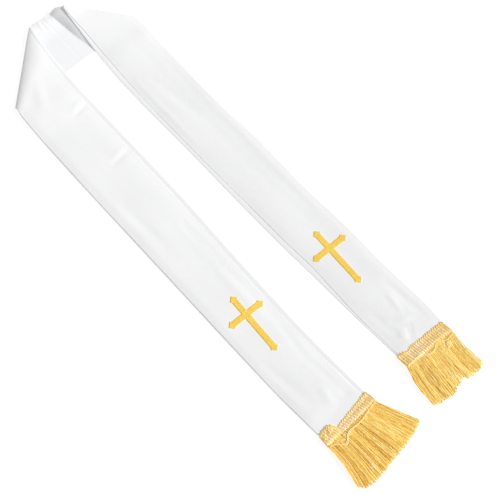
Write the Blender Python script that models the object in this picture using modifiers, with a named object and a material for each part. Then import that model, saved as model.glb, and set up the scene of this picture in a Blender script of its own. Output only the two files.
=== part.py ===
"""Clerical stole laid flat: two lined satin halves, two crosses and two fringes.

The stole is one long strip, sewn from two halves that meet at the back of the
neck. Each half is a satin front and a lining, sewn along both edges. Laid out,
the neck band lies face down with its lining up, and each half turns over it in
a mitre fold, so both panels run side by side towards -Y with their fronts up.

Layout frame: X across the panels, +Y towards the neck, Z up from the surface.
Lengths are in metres.
"""
import math
import random
from collections import namedtuple

import bmesh
import bpy
from mathutils import Vector

COLLECTION = "clerical_stole"

# ---- driving dimensions ------------------------------------------------------
WALL = 0.0010             # thickness of each layer, front and lining
SEAM_GAP = 0.0003         # space kept between pieces that are sewn together
NECK_SEAM_X = 0.0240      # centre-back seam, across the neck band
BAND_BOTTOM_Y = 0.5530    # lower edge of the neck band
BAND_TOP_Y = 0.6900       # upper edge of the neck band
HEM_Y = -0.3700           # cut end of both panels, under the fringe heading
PRESSED_Y = -0.3450       # below here the panel is pressed flat for the heading
FAN_START_Y = 0.5300      # from here the sections turn towards the fold line
RAMP_LENGTH = 0.0300      # the panel climbs over the band in this length
NECK_RISE_LEFT = 0.0030   # how far the band's upper edge lifts beside each fold
NECK_RISE_RIGHT = 0.0070
NECK_RISE_WIDTH = 0.0380
PANEL_STEP = 0.0640       # section spacing along the straight part of a panel
FAN_CREEP = 0.0160        # how far the near end of the band's sections moves as they turn
RAMP_SECTIONS = 3
FAN_SECTIONS = 8          # sections that turn from square to the fold line
ARC_SECTIONS = 6          # steps round a fold
SEAM_SECTIONS = 2         # sections from the last fan section to the seam
CELLS_ACROSS = 9

CROSS_THICKNESS = 0.0008
CROSS_TOP = 0.0470        # arm lengths from the crossing to each point
CROSS_BOTTOM = 0.0930
CROSS_SIDE = 0.0430
CROSS_BAR = 0.0058        # half the width of a bar
CROSS_TILT = math.radians(-2.4)
CUTTER_REACH = 0.0200     # the cross outline's cutter goes this far up and down

HEADING_THICKNESS = 0.0024    # braided heading of the fringe
HEADING_OVERHANG = 0.0015     # it bends down this far past the cut end of the panel
HEADING_FLOOR = 0.0004        # its lower edge hangs just above the surface
STRAND_COLUMNS = 56           # strands in each of the two rows
STRAND_STEPS = 3              # straight stretches in one strand
STRAND_SPLIT = 0.00022        # how far each root is set in from its neighbours
STRAND_HALF = 0.00050         # half the thickness of a strand past its root
STRAND_FLOOR = 0.0011         # height of a lower strand's middle
STRAND_THICKER = 1.2          # a strand is wider than it is thick
STRAND_SPREAD = 1.15          # above 1, strands fan out late
STRAND_SWAY = 0.0011          # greatest sideways drift of a strand
SWAY_RATE = 23.0              # drift cycles across the fringe, in radians
SETTLE_RATE = 2.5             # a lower strand lies down in this fraction of its length
LOFT = 0.0030                 # height of the upper strands' arch
LOFT_CHANGE = 0.0012          # uneven part of the arch
LOFT_RATE = 17.0
LOFT_FALL = 0.4               # share of the arch lost at the ends
LOFT_LENGTH = 1.1             # the arch comes down just before the ends
UPPER_PHASE = 0.9             # the two rows drift out of step
TIP_SHORT = 0.0020            # strands end up to this much short of the line of tips
TIP_LONG = 0.0035             # and up to this much past it
STRAND_SEED = 7

SHARP_EDGE = math.radians(35)   # steeper edges than this stay crisp
SAME_PLACE = 1e-6               # points closer than this are one
DOWNWARD = -0.7                 # Y of a face normal that looks towards the tips

MID = WALL + SEAM_GAP / 2     # mid height of a two-layer strip that lies flat
DOUBLE = 2 * MID + SEAM_GAP   # height of the upper strip's underside on the band

EdgeRow = namedtuple("EdgeRow", "y lining front")
OuterRow = namedtuple("OuterRow", "y x")
ReliefRow = namedtuple("ReliefRow", "y inner hollow middle outer")
ArmRow = namedtuple("ArmRow", "from_tip half_width")
TipRow = namedtuple("TipRow", "share x y")
Half = namedtuple("Half", "name inner outer relief corner apex corner_radius apex_radius cross")
Fringe = namedtuple("Fringe", "name top_left top_right low_left low_right tips")

# Inner edge of each half, hem to fold: the lining shows past the front.
LEFT_INNER = (
    EdgeRow(-0.370, -0.0285, -0.0350),
    EdgeRow(-0.320, -0.0310, -0.0395),
    EdgeRow(-0.200, -0.0340, -0.0430),
    EdgeRow(-0.080, -0.0328, -0.0422),
    EdgeRow(0.040, -0.0298, -0.0390),
    EdgeRow(0.160, -0.0255, -0.0345),
    EdgeRow(0.300, -0.0243, -0.0332),
    EdgeRow(0.450, -0.0243, -0.0332),
    EdgeRow(0.530, -0.0238, -0.0325),
    EdgeRow(0.610, -0.0190, -0.0275),
    EdgeRow(0.650, -0.0150, -0.0240),
    EdgeRow(0.690, -0.0130, -0.0220),
)
LEFT_OUTER = (
    OuterRow(-0.370, -0.1505),
    OuterRow(-0.320, -0.1535),
    OuterRow(-0.240, -0.1570),
    OuterRow(0.100, -0.1585),
    OuterRow(0.400, -0.1585),
    OuterRow(0.530, -0.1555),
    OuterRow(0.556, -0.1510),
)
RIGHT_INNER = (
    EdgeRow(-0.370, 0.0640, 0.0665),
    EdgeRow(-0.320, 0.0618, 0.0655),
    EdgeRow(-0.240, 0.0580, 0.0625),
    EdgeRow(-0.110, 0.0545, 0.0655),
    EdgeRow(-0.040, 0.0520, 0.0630),
    EdgeRow(0.090, 0.0510, 0.0615),
    EdgeRow(0.220, 0.0515, 0.0595),
    EdgeRow(0.370, 0.0500, 0.0600),
    EdgeRow(0.460, 0.0510, 0.0620),
    EdgeRow(0.530, 0.0550, 0.0650),
    EdgeRow(0.600, 0.0610, 0.0690),
    EdgeRow(0.650, 0.0650, 0.0725),
    EdgeRow(0.684, 0.0680, 0.0750),
)
RIGHT_OUTER = (
    OuterRow(-0.370, 0.1745),
    OuterRow(-0.314, 0.1785),
    OuterRow(-0.200, 0.1755),
    OuterRow(-0.104, 0.1765),
    OuterRow(0.030, 0.1730),
    OuterRow(0.170, 0.1755),
    OuterRow(0.270, 0.1720),
    OuterRow(0.450, 0.1735),
    OuterRow(0.530, 0.1755),
    OuterRow(0.559, 0.1735),
)

# Height of the front above its flat place, at five places across the panel:
# the seam allowances fill both edges and the middle sinks between them.
LEFT_RELIEF = (
    ReliefRow(-0.370, 0.0000, 0.0000, 0.0000, 0.0000),
    ReliefRow(-0.345, 0.0000, 0.0000, 0.0000, 0.0000),
    ReliefRow(-0.320, 0.0008, 0.0002, 0.0006, 0.0010),
    ReliefRow(-0.220, 0.0016, 0.0002, 0.0011, 0.0015),
    ReliefRow(-0.080, 0.0022, 0.0006, 0.0010, 0.0014),
    ReliefRow(0.080, 0.0027, 0.0003, 0.0013, 0.0017),
    ReliefRow(0.240, 0.0027, 0.0005, 0.0009, 0.0018),
    ReliefRow(0.380, 0.0020, 0.0006, 0.0012, 0.0016),
    ReliefRow(0.500, 0.0010, 0.0004, 0.0008, 0.0012),
    ReliefRow(0.690, 0.0004, 0.0002, 0.0003, 0.0004),
)
RIGHT_RELIEF = (
    ReliefRow(-0.370, 0.0000, 0.0000, 0.0000, 0.0000),
    ReliefRow(-0.345, 0.0000, 0.0000, 0.0000, 0.0000),
    ReliefRow(-0.320, 0.0012, 0.0010, 0.0003, 0.0012),
    ReliefRow(-0.220, 0.0022, 0.0013, 0.0004, 0.0015),
    ReliefRow(-0.080, 0.0024, 0.0012, 0.0006, 0.0015),
    ReliefRow(0.080, 0.0026, 0.0014, 0.0003, 0.0018),
    ReliefRow(0.240, 0.0024, 0.0016, 0.0003, 0.0018),
    ReliefRow(0.380, 0.0022, 0.0014, 0.0004, 0.0016),
    ReliefRow(0.500, 0.0016, 0.0010, 0.0006, 0.0012),
    ReliefRow(0.690, 0.0005, 0.0004, 0.0003, 0.0004),
)
RELIEF_ACROSS = (0.05, 0.15, 0.38, 0.62, 0.87, 1.00)   # edge, the four columns, edge

LEFT = Half("left", LEFT_INNER, LEFT_OUTER, LEFT_RELIEF,
            Vector((-0.1510, 0.5555)), Vector((-0.0130, 0.6895)), 0.0022, 0.0034,
            Vector((-0.0945, -0.0940)))
RIGHT = Half("right", RIGHT_INNER, RIGHT_OUTER, RIGHT_RELIEF,
             Vector((0.1735, 0.5595)), Vector((0.0680, 0.6835)), 0.0020, 0.0054,
             Vector((0.1185, -0.1035)))

# One arm of a cross, from its point back to the bar: a pointed, flared end.
CROSS_ARM = (
    ArmRow(0.0000, 0.0000),
    ArmRow(0.0085, 0.0086),
    ArmRow(0.0100, 0.0072),
    ArmRow(0.0125, 0.0062),
    ArmRow(0.0155, 0.0058),
)

# Ends of the strands, from the first strand to the last.
LEFT_TIPS = (
    TipRow(0.00, -0.1635, -0.4700),
    TipRow(0.09, -0.1490, -0.4840),
    TipRow(0.30, -0.1130, -0.4850),
    TipRow(0.52, -0.0730, -0.4810),
    TipRow(0.72, -0.0380, -0.4780),
    TipRow(0.90, -0.0080, -0.4690),
    TipRow(1.00, 0.0085, -0.4600),
)
RIGHT_TIPS = (
    TipRow(0.00, 0.0470, -0.4600),
    TipRow(0.12, 0.0610, -0.4660),
    TipRow(0.30, 0.0830, -0.4700),
    TipRow(0.55, 0.1150, -0.4670),
    TipRow(0.80, 0.1480, -0.4680),
    TipRow(1.00, 0.1745, -0.4640),
)
FRINGES = (
    Fringe("left_fringe", (-0.1525, -0.3590), (-0.0280, -0.3560),
           (-0.1525, -0.3850), (-0.0270, -0.3835), LEFT_TIPS),
    Fringe("right_fringe", (0.0605, -0.3480), (0.1755, -0.3570),
           (0.0615, -0.3780), (0.1765, -0.3860), RIGHT_TIPS),
)

MATERIALS = {
    "satin": ((0.880, 0.885, 0.905), 0.38),
    "lining": ((0.900, 0.905, 0.930), 0.50),
    "embroidery": ((0.950, 0.590, 0.075), 0.55),
    "fringe_gold": ((0.930, 0.540, 0.110), 0.60),
}


# ---- helpers -----------------------------------------------------------------
def clear_scene():
    for old in list(bpy.data.objects):
        bpy.data.objects.remove(old, do_unlink=True)


def make_collection(name):
    group = bpy.data.collections.new(name)
    bpy.context.scene.collection.children.link(group)
    return group


def make_material(name, colour, roughness):
    material = bpy.data.materials.new(name)
    material.use_nodes = True
    shader = material.node_tree.nodes["Principled BSDF"]
    shader.inputs["Base Color"].default_value = (*colour, 1.0)
    shader.inputs["Roughness"].default_value = roughness
    shader.inputs["Metallic"].default_value = 0.0
    return material


def add_object(name, mesh, material, group):
    mesh.materials.append(material)
    mesh.shade_smooth()
    mesh.set_sharp_from_angle(angle=SHARP_EDGE)
    made = bpy.data.objects.new(name, mesh)
    group.objects.link(made)
    return made


def smoothstep(value):
    value = min(max(value, 0.0), 1.0)
    return value * value * (3 - 2 * value)


def curve_through(keys, values, at):
    """Value at a place on the smooth curve through (key, value) pairs."""
    at = min(max(at, keys[0]), keys[-1])
    last = len(keys) - 2
    k = next((i for i in range(last) if at <= keys[i + 1]), last)
    span = keys[k + 1] - keys[k]
    share = (at - keys[k]) / span

    def slope(i):
        low, high = max(i - 1, 0), min(i + 1, len(keys) - 1)
        return (values[high] - values[low]) / (keys[high] - keys[low]) * span

    square, cube = share * share, share ** 3
    return ((2 * cube - 3 * square + 1) * values[k] + (cube - 2 * square + share) * slope(k)
            + (3 * square - 2 * cube) * values[k + 1] + (cube - square) * slope(k + 1))


def from_rows(rows, column, at):
    keys = [row[0] for row in rows]
    return curve_through(keys, [getattr(row, column) for row in rows], at)


# ---- shape of a half ---------------------------------------------------------
def neck_rise(x, y):
    """The band's upper edge lifts a little, more beside the open right fold."""
    across = smoothstep((x - LEFT.apex.x) / (RIGHT.apex.x - LEFT.apex.x))
    rise = NECK_RISE_LEFT + (NECK_RISE_RIGHT - NECK_RISE_LEFT) * across
    return rise * smoothstep((y - BAND_TOP_Y + NECK_RISE_WIDTH) / NECK_RISE_WIDTH)


def fold_radius(half, along):
    return half.corner_radius + (half.apex_radius - half.corner_radius) * along


def front_relief(half, across, y):
    """Height of the front above its flat place."""
    columns = ("inner", "hollow", "middle", "outer")
    heights = [0.0] + [from_rows(half.relief, column, y) for column in columns] + [0.0]
    return max(curve_through(RELIEF_ACROSS, heights, across), 0.0)


def panel_point(half, share, across, offset):
    """Point of a panel section: share runs 0 to 1 over the fan, below 0 down the panel."""
    if share <= 0:
        inner_y = outer_y = FAN_START_Y + share
    else:
        inner_y = FAN_START_Y + share * (half.apex.y - FAN_START_Y)
        outer_y = FAN_START_Y + share * (half.corner.y - FAN_START_Y)
    inner = Vector((from_rows(half.inner, "lining", inner_y), inner_y))
    outer = Vector((from_rows(half.outer, "x", outer_y), outer_y))
    place = inner.lerp(outer, across)
    climb = smoothstep((place.y - FAN_START_Y + RAMP_LENGTH) / RAMP_LENGTH)
    lift = smoothstep(share) * (2 * fold_radius(half, 1 - across) - DOUBLE)
    return Vector((place.x, place.y, MID + DOUBLE * climb + lift + offset))


def fold_point(half, turn, across, offset):
    """Point on the round of the fold: turn runs from 0, on top, to 1, underneath."""
    line = (half.apex - half.corner).normalized()
    outward = Vector((abs(line.y) * math.copysign(1, half.corner.x), abs(line.x)))
    radius = fold_radius(half, 1 - across)
    angle = math.pi * (0.5 - turn)
    place = half.apex.lerp(half.corner, across) + outward * (radius + offset) * math.cos(angle)
    return Vector((place.x, place.y, MID + radius + (radius + offset) * math.sin(angle)))


def band_point(half, share, across, offset):
    """Point of a neck band section: share runs 0 to 1 over its fan, 1 to 2 to the seam."""
    side = math.copysign(1, half.corner.x)
    seam_x = NECK_SEAM_X + side * SEAM_GAP / 2
    upright_x = half.apex.x - side * FAN_CREEP
    low_x = half.corner.x + (upright_x - half.corner.x) * min(share, 1.0)
    top_x = half.apex.x + (upright_x - half.apex.x) * min(share, 1.0)
    if share > 1:
        low_x = top_x = upright_x + (seam_x - upright_x) * (share - 1)
    low_y = half.corner.y + (BAND_BOTTOM_Y - half.corner.y) * smoothstep(share)
    top_y = half.apex.y + (BAND_TOP_Y - half.apex.y) * smoothstep(share - 1)
    place = Vector((top_x, top_y)).lerp(Vector((low_x, low_y)), across)
    return Vector((place.x, place.y, MID - offset))


def section_steps():
    """Every section of a half, hem to neck seam, as a point function and its share."""
    drop = FAN_START_Y - RAMP_LENGTH - PRESSED_Y
    count = round(drop / PANEL_STEP)
    steps = [(panel_point, HEM_Y - FAN_START_Y)]
    steps += [(panel_point, PRESSED_Y - FAN_START_Y + drop * k / count) for k in range(count)]
    steps += [(panel_point, -RAMP_LENGTH * (1 - k / RAMP_SECTIONS)) for k in range(RAMP_SECTIONS)]
    steps += [(panel_point, k / FAN_SECTIONS) for k in range(FAN_SECTIONS + 1)]
    steps += [(fold_point, k / ARC_SECTIONS) for k in range(1, ARC_SECTIONS)]
    steps += [(band_point, k / FAN_SECTIONS) for k in range(FAN_SECTIONS + 1)]
    steps += [(band_point, 1 + k / SEAM_SECTIONS) for k in range(1, SEAM_SECTIONS + 1)]
    return steps


def front_setback(half, inner_y):
    """How far in the front's edge lies from the lining's, as a share of the width."""
    inner_y = min(inner_y, half.apex.y)
    lining_x = from_rows(half.inner, "lining", inner_y)
    front_x = from_rows(half.inner, "front", inner_y)
    return (front_x - lining_x) / (half.corner.x - lining_x)


def half_sections(half, layer, offset):
    """Points of one layer of a half. Both layers share their columns, so they nest."""
    sections = []
    for point, share in section_steps():
        row = [point(half, share, j / CELLS_ACROSS, offset) for j in range(CELLS_ACROSS + 1)]
        for spot in row:
            spot.z += neck_rise(spot.x, spot.y)
        if layer == "front":
            row[0] = row[0].lerp(row[1], front_setback(half, row[0].y) * CELLS_ACROSS)
            if point is panel_point:
                for j in range(1, CELLS_ACROSS):
                    relief = front_relief(half, j / CELLS_ACROSS, row[j].y)
                    row[j].z += relief * (1 - smoothstep(share))
        sections.append(row)
    return sections


def sheet_from_sections(name, sections):
    """Open sheet of quads through the sections, its faces towards the front side."""
    grid = bmesh.new()
    bmesh.ops.create_grid(grid, x_segments=len(sections[0]) - 1, y_segments=len(sections) - 1)
    ordered = sorted(grid.verts, key=lambda vert: (round(vert.co.y, 4), vert.co.x))
    spots = [spot for row in sections for spot in row]
    for vert, spot in zip(ordered, spots):
        vert.co = spot
    mesh = bpy.data.meshes.new(name)
    if sections[0][0].x > sections[0][-1].x:
        bmesh.ops.reverse_faces(grid, faces=grid.faces)
    grid.to_mesh(mesh)
    grid.free()
    return mesh


def add_layer(half, layer, material, group):
    """One layer of a half: an open sheet beside the seam gap, thickened away from it."""
    side = 1 if layer == "front" else -1
    sections = half_sections(half, layer, side * SEAM_GAP / 2)
    name = f"{half.name}_{layer}"
    made = add_object(name, sheet_from_sections(name, sections), material, group)
    wall = made.modifiers.new("wall", "SOLIDIFY")
    wall.thickness = WALL
    wall.offset = side
    wall.use_even_offset = True
    return made


# ---- crosses -----------------------------------------------------------------
def cross_outline(centre):
    """Corners of the cross, arm by arm, turned about its crossing."""
    arms = ((0, CROSS_SIDE), (1, CROSS_TOP), (2, CROSS_SIDE), (3, CROSS_BOTTOM))
    corners = []
    for quarter, length in arms:
        right = [(length - row.from_tip, -row.half_width) for row in reversed(CROSS_ARM)]
        left = [(length - row.from_tip, row.half_width) for row in CROSS_ARM[1:]]
        for along, aside in right + left + [(CROSS_BAR, CROSS_BAR)]:
            turn = CROSS_TILT + quarter * math.pi / 2
            x = along * math.cos(turn) - aside * math.sin(turn)
            y = along * math.sin(turn) + aside * math.cos(turn)
            corners.append((centre.x + x, centre.y + y))
    return corners


def add_cross(half, material, group, cutters):
    """Embroidered cross: the front's own sheet moved out, cut to the outline."""
    depth = SEAM_GAP * 1.5 + WALL
    reach = max(CROSS_TOP, CROSS_BOTTOM) + PANEL_STEP
    sections = half_sections(half, "front", depth)
    near = [row for row in sections if abs(row[0].y - half.cross.y) < reach]
    name = f"{half.name}_cross"
    made = add_object(name, sheet_from_sections(name, near), material, group)
    body = made.modifiers.new("thread", "SOLIDIFY")
    body.thickness = CROSS_THICKNESS
    body.offset = 1

    outline = bpy.data.curves.new(f"{name}_outline", "CURVE")
    outline.dimensions = "2D"
    outline.fill_mode = "BOTH"
    outline.extrude = CUTTER_REACH
    corners = cross_outline(half.cross)
    line = outline.splines.new("POLY")
    line.points.add(len(corners) - 1)
    for point, (x, y) in zip(line.points, corners):
        point.co = (x, y, 0.0, 1.0)
    line.use_cyclic_u = True
    flat = bpy.data.objects.new(f"{name}_outline", outline)
    cutters.objects.link(flat)
    bpy.context.view_layer.update()
    solid = bpy.data.meshes.new_from_object(flat.evaluated_get(bpy.context.evaluated_depsgraph_get()))
    bpy.data.objects.remove(flat)
    shape = bmesh.new()
    shape.from_mesh(solid)
    bmesh.ops.remove_doubles(shape, verts=shape.verts, dist=SAME_PLACE)
    shape.to_mesh(solid)
    shape.free()
    cutter = bpy.data.objects.new(f"{name}_cutter", solid)
    cutters.objects.link(cutter)
    cutter.hide_render = True
    cutter.display_type = "WIRE"
    cut = made.modifiers.new("outline", "BOOLEAN")
    cut.operation = "INTERSECT"
    cut.solver = "EXACT"
    cut.object = cutter
    return made, cutter


# ---- fringe ------------------------------------------------------------------
def heading_place(fringe, across, down, up):
    """Point of the heading: across its length, down its width, up its thickness."""
    top = Vector(fringe.top_left).lerp(Vector(fringe.top_right), across)
    low = Vector(fringe.low_left).lerp(Vector(fringe.low_right), across)
    hem_share = (top.y - HEM_Y + HEADING_OVERHANG) / (top.y - low.y)
    down = 2 * down * hem_share if down <= 0.5 else hem_share + (2 * down - 1) * (1 - hem_share)
    place = top.lerp(low, down)
    past_hem = max(down - hem_share, 0.0) / (1 - hem_share)
    base = DOUBLE + (HEADING_FLOOR - DOUBLE) * past_hem
    return Vector((place.x, place.y, base + up * HEADING_THICKNESS))


def heading_lattice(fringe):
    """Box split into one cell a strand across, two in thickness, two down its width."""
    block = bmesh.new()
    bmesh.ops.create_cube(block, size=1.0)
    for axis, cuts in ((0, STRAND_COLUMNS - 1), (1, 1), (2, 1)):
        along = [edge for edge in block.edges
                 if abs(edge.verts[0].co[axis] - edge.verts[1].co[axis]) > SAME_PLACE]
        bmesh.ops.subdivide_edges(block, edges=along, cuts=cuts, use_grid_fill=True)
    for vert in block.verts:
        across, down, up = vert.co.x + 0.5, 0.5 - vert.co.y, vert.co.z + 0.5
        vert.co = heading_place(fringe, across, down, up)
    return block


def strand_point(fringe, root, share, along, upper, wave):
    """Middle of a strand at a share of its length, from its root in the heading."""
    tip_x = from_rows(fringe.tips, "x", share)
    tip_y = from_rows(fringe.tips, "y", share) + wave["tip"]
    spread = along ** STRAND_SPREAD
    sway = STRAND_SWAY * math.sin(math.pi * along) * math.sin(SWAY_RATE * share + wave["phase"])
    x = root.x + (tip_x - root.x) * spread + sway
    y = root.y + (tip_y - root.y) * along
    settle = smoothstep(along * SETTLE_RATE)
    z = root.z + (STRAND_FLOOR - root.z) * settle
    if upper:
        loft = LOFT + LOFT_CHANGE * math.sin(LOFT_RATE * share + wave["phase"])
        arch = math.sin(math.pi * min(along * LOFT_LENGTH, 1.0))
        z = root.z + loft * arch * (1 - LOFT_FALL * along)
    return Vector((x, y, z))


def add_fringe(fringe, material, group):
    """Braided heading with strands drawn out of its lower edge, in two rows."""
    block = heading_lattice(fringe)
    block.normal_update()
    roots = [face for face in block.faces if face.normal.y < DOWNWARD]
    bmesh.ops.inset_individual(block, faces=roots, thickness=STRAND_SPLIT, use_even_offset=True)
    roots.sort(key=lambda face: (round(face.calc_center_median().x, 5), face.calc_center_median().z))
    chance = random.Random(STRAND_SEED)
    for number, face in enumerate(roots):
        share = (number // 2) / (STRAND_COLUMNS - 1)
        upper = number % 2 == 1
        wave = {"tip": chance.uniform(-TIP_LONG, TIP_SHORT), "phase": UPPER_PHASE * upper}
        root = face.calc_center_median()
        square = [vert.co - root for vert in face.verts]
        for step in range(1, STRAND_STEPS + 1):
            along = step / STRAND_STEPS
            middle = strand_point(fringe, root, share, along, upper, wave)
            face = bmesh.ops.extrude_discrete_faces(block, faces=[face])["faces"][0]
            for vert, corner in zip(face.verts, square):
                x = math.copysign(STRAND_HALF * STRAND_THICKER, corner.x)
                z = math.copysign(STRAND_HALF, corner.z)
                vert.co = middle + Vector((x, 0.0, z))
    bmesh.ops.recalc_face_normals(block, faces=block.faces)
    mesh = bpy.data.meshes.new(fringe.name)
    block.to_mesh(mesh)
    block.free()
    return add_object(fringe.name, mesh, material, group)


# ---- assembly ----------------------------------------------------------------
def centre_on_origin(objects, empty):
    """Put the middle of the stole's box over the origin."""
    bpy.context.view_layer.update()
    depsgraph = bpy.context.evaluated_depsgraph_get()
    corners = [Vector(corner) for piece in objects for corner in piece.evaluated_get(depsgraph).bound_box]
    for axis in (0, 1):
        values = [corner[axis] for corner in corners]
        empty.location[axis] = -(min(values) + max(values)) / 2


def build():
    clear_scene()
    group = make_collection(COLLECTION)
    cutters = make_collection("cutters")
    finish = {name: make_material(name, *look) for name, look in MATERIALS.items()}
    pieces, guides = [], []
    for half in (LEFT, RIGHT):
        pieces.append(add_layer(half, "front", finish["satin"], group))
        pieces.append(add_layer(half, "lining", finish["lining"], group))
        cross, cutter = add_cross(half, finish["embroidery"], group, cutters)
        pieces.append(cross)
        guides.append(cutter)
    for fringe in FRINGES:
        pieces.append(add_fringe(fringe, finish["fringe_gold"], group))
    middle = bpy.data.objects.new("stole_middle", None)
    group.objects.link(middle)
    centre_on_origin(pieces, middle)
    for piece in pieces + guides:
        piece.parent = middle
    bpy.context.view_layer.update()


build()
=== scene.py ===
from collections import namedtuple

import bpy
import numpy as np
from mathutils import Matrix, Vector


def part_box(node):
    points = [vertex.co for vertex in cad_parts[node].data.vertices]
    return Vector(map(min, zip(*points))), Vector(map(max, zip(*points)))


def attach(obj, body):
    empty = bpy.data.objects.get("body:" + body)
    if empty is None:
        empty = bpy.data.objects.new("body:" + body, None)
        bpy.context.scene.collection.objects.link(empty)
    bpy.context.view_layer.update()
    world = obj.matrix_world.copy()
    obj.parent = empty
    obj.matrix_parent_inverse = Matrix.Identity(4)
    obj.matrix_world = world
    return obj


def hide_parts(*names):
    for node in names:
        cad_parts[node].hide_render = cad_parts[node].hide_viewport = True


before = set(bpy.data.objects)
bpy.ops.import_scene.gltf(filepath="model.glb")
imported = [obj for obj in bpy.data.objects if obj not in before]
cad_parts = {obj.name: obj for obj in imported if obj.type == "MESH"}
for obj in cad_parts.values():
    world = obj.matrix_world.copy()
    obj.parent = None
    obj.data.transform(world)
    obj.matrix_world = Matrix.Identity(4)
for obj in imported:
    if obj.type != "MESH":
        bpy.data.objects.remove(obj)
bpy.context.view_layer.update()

# ---- Halves: satin fronts and their linings ----------------------------------
# The stole is two equal halves, each a satin front on a plain lining, sewn along both
# long edges, turned and pressed. The lining is rolled out past the front on the inner
# edge, and a mitre fold turns each half over the neck band, where the two are joined.

# Lengths are metres in the layout frame: X across the panels, +Y to the neck, Z up.
WALL = 0.001  # thickness of each layer
SEAM_GAP = 0.0003  # space between the two layers
MID = WALL + SEAM_GAP / 2  # mid height of a strip that lies flat
DOUBLE = 2 * MID + SEAM_GAP  # height at which a second strip lies on it
HEM_Y = -0.37
HEM_FLAT = 0.012  # the panel lies flat this far above the hem, then eases up
HEM_EASE = 0.035
FAN_START_Y = 0.53  # from here the sections turn towards the fold
FAN_CREEP = 0.016  # and end this far from it, upright, on the neck band
RAMP_LENGTH = 0.09  # the panel climbs over the band in this length
BAND_BOTTOM_Y = 0.553
BAND_TOP_Y = 0.69
BAND_TOP_TURN = 0.9  # share of the fan in which the top edge leaves the fold
BAND_HUMP = 0.003  # the band's top edge stands this far up beside the left fold
BAND_HUMP_X = -0.0025
BAND_HUMP_WIDTH = 0.009
BAND_HUMP_TURN = 0.4
NECK_SEAM_X = 0.024  # centre-back seam, across the neck band
NECK_RISE_LEFT = 0.0026  # how far the band's top edge lifts beside each fold
NECK_RISE_RIGHT = 0.0028
NECK_RISE_WIDTH = 0.054
CLOTH_WIDTH = 0.13  # nominal width, to turn shares into distances
WRAP = 0.0008  # the front rolls this far under at its outer edge
BAND_WRAP = 0.4  # share of it along the band
INSET = 0.0004  # the lining's outer edge lies this far inside the front's
PRESSED_REACH = 0.01  # pressing thins the front this far from its inner edge
STRIP_REACH = 0.005  # and the strip of lining beside it
PUFF_FULL = 0.4  # below 1, that strip is filled out more evenly
PUFF_FLAT = 0.01  # and it is flat, then eases up, this far above the hem
PUFF_EASE = 0.03
PUFF_BELOW = 0.7  # share of the puff on the strip's under side, at the neck band
FLATTENED = 0.58  # share of both layers' height pressed away along the inner edge
FLATTENED_REACH = 0.034
SEAM_DIP = 0.08  # share of a wall by which the centre-back seam sinks
SEAM_SOFT = 0.002
FOLD_SINK = 0.35  # share of a fold's radius by which its widest line sinks
CRISP_SHARE = 0.2  # a fold's crisp rounding, as a share of its soft roll
CRISP_LEAST = 0.002
TIP_BACK = 0.0085  # the open fold's upper side lies back this far at its tip
TIP_REACH = 0.06
CREASE_ENDS = 0.4  # share of its height left to a crease at its ends
BAND_SWELL = 0.6  # share of the panels' swell seen in the band
LINING_LEFT = 0.02385  # inner edge of the left lining, the frame's mark in X

STRAIGHT_ROWS = 260
FAN_ROWS = 40
FAN_CROWDING = 1.6  # above 1, rows stand closer near the fold
ARC_ROWS = 14
BAND_ROWS = 80
SEAM_ROWS = 30
SEAM_CROWDING = 1.7  # and near the seam
EDGE_STEPS = (0.0, 0.0002, 0.0005, 0.0009, 0.0014, 0.0021, 0.0031, 0.0046)
INNER_COLUMNS = 42

Edge = namedtuple("Edge", "y lining front")
Outer = namedtuple("Outer", "y x")
Relief = namedtuple("Relief", "y inner hollow middle outer")
Crease = namedtuple("Crease", "x0 y0 x1 y1 width height")
Wave = namedtuple("Wave", "x y phase height")
Climb = namedtuple("Climb", "y start end height")
Half = namedtuple("Half", "name inner outer relief creases corner apex corner_radius"
                          " apex_radius corner_roll apex_roll corner_dome apex_dome dome_height"
                          " soft_share edge_share front_pressed strip_pressed puff cross")

LEFT_INNER = (
    Edge(-0.37, -0.0285, -0.035),
    Edge(-0.32, -0.031, -0.0395),
    Edge(-0.2, -0.034, -0.043),
    Edge(-0.08, -0.0328, -0.0422),
    Edge(0.04, -0.0298, -0.039),
    Edge(0.16, -0.0255, -0.0345),
    Edge(0.3, -0.0243, -0.0332),
    Edge(0.45, -0.0243, -0.0332),
    Edge(0.53, -0.0238, -0.0325),
    Edge(0.61, -0.019, -0.0275),
    Edge(0.65, -0.015, -0.024),
    Edge(0.69, -0.0104, -0.0194),
)
LEFT_OUTER = (
    Outer(-0.37, -0.1505),
    Outer(-0.32, -0.1535),
    Outer(-0.24, -0.157),
    Outer(0.1, -0.1585),
    Outer(0.4, -0.1585),
    Outer(0.53, -0.1555),
    Outer(0.556, -0.151),
)
RIGHT_INNER = (
    Edge(-0.37, 0.064, 0.0665),
    Edge(-0.32, 0.0618, 0.0655),
    Edge(-0.24, 0.058, 0.0625),
    Edge(-0.11, 0.0545, 0.0655),
    Edge(-0.04, 0.052, 0.063),
    Edge(0.09, 0.051, 0.0615),
    Edge(0.22, 0.0515, 0.0595),
    Edge(0.37, 0.05, 0.06),
    Edge(0.46, 0.051, 0.062),
    Edge(0.53, 0.055, 0.065),
    Edge(0.6, 0.061, 0.0685),
    Edge(0.65, 0.065, 0.069),
    Edge(0.684, 0.068, 0.0695),
)
RIGHT_OUTER = (
    Outer(-0.37, 0.1745),
    Outer(-0.314, 0.1785),
    Outer(-0.2, 0.1755),
    Outer(-0.104, 0.1765),
    Outer(0.03, 0.173),
    Outer(0.17, 0.1755),
    Outer(0.27, 0.172),
    Outer(0.45, 0.1735),
    Outer(0.53, 0.1755),
    Outer(0.559, 0.1735),
)

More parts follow.
